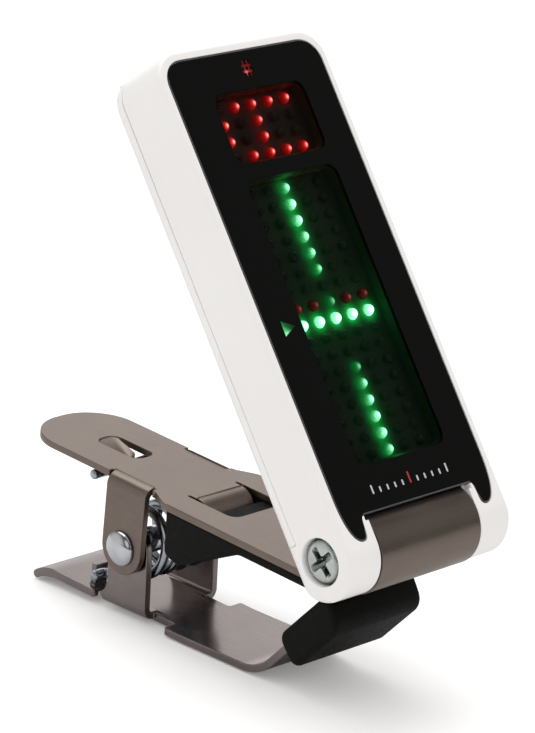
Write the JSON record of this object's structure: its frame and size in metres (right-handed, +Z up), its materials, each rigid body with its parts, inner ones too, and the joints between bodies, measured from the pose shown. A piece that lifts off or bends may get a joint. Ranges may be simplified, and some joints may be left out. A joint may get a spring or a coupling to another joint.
{
  "type": "clip-on instrument tuner",
  "caption": "Sprung steel headstock clip with rubber grips, carrying a tilting white display head with a dark lamp window, battery door and power button.",
  "frame": {"origin": "centre of the lower jaw's flat underside, where the tuner rests on a bench", "axes": "+X along the hinge axes to the right when facing the display, +Z up, -Y towards the player and the display side, +Y towards the thumb ends of the clip"},
  "size_m": [0.025, 0.0589, 0.0676],
  "materials": {
    "white_gloss_plastic": "moulded ABS, satin gloss",
    "smoked_acrylic": "dark tinted, polished",
    "black_plastic": "moulded, matt",
    "red_lamp": "clear-cast lamp, lit red",
    "green_lamp": "clear-cast lamp, lit green",
    "circuit_board": "glass-epoxy board with solder mask",
    "nickel_plate": "nickel-plated steel",
    "brass_disc": "piezo disc on brass",
    "zinc_screw": "zinc-plated steel",
    "grey_rubber": "moulded silicone key",
    "pewter_steel": "pewter-brown plated spring-steel sheet, satin",
    "black_rubber": "moulded rubber, matt",
    "bush_acetal": "acetal friction bush",
    "chrome_plate": "bright-plated rivet",
    "spring_steel": "bright-plated spring wire"
  },
  "bodies": {
    "head": {"front_housing": "white_gloss_plastic", "rear_cover": "white_gloss_plastic", "display_window": "smoked_acrylic", "light_baffle": "black_plastic", "note_leds": "red_lamp", "strobe_leds": "green_lamp", "sharp_led": "red_lamp", "marker_light": "green_lamp", "main_board": "circuit_board", "microcontroller": "black_plastic", "quartz_crystal": "nickel_plate", "power_switch": "black_plastic", "piezo_sensor": "brass_disc", "coin_cell": "nickel_plate", "contact_positive": "nickel_plate", "contact_negative": "nickel_plate", "case_screw_left": "zinc_screw", "case_screw_right": "zinc_screw", "hinge_screw": "zinc_screw", "hinge_nut": "zinc_screw"},
    "battery_door": {"battery_door": "white_gloss_plastic"},
    "power_button": {"power_button": "grey_rubber"},
    "upper_clip": {"upper_jaw": "pewter_steel", "upper_pad": "black_rubber", "hinge_bush_left": "bush_acetal", "hinge_bush_right": "bush_acetal"},
    "lower_clip": {"lower_jaw": "pewter_steel", "lower_boot": "black_rubber", "pivot_pin": "chrome_plate", "torsion_spring": "spring_steel"}
  },
  "joints": [
    {"name": "jaw_open", "type": "hinge", "parent": "lower_clip", "child": "upper_clip", "pos_m": [0, 0.012, 0.0086], "axis": [-1, 0, 0], "range_deg": [0, 32], "deforming": ["torsion_spring"]},
    {"name": "head_tilt", "type": "hinge", "parent": "upper_clip", "child": "head", "pos_m": [0, -0.024, 0.0194], "axis": [1, 0, 0], "range_deg": [-48, 140]},
    {"name": "battery_door_slide", "type": "slide", "parent": "head", "child": "battery_door", "axis": [0, 0.5779, 0.8161], "range_m": [0, 0.026]},
    {"name": "power_button_press", "type": "slide", "parent": "head", "child": "power_button", "axis": [0, -0.8161, 0.5779], "range_m": [0, 0.0004]}
  ]
}
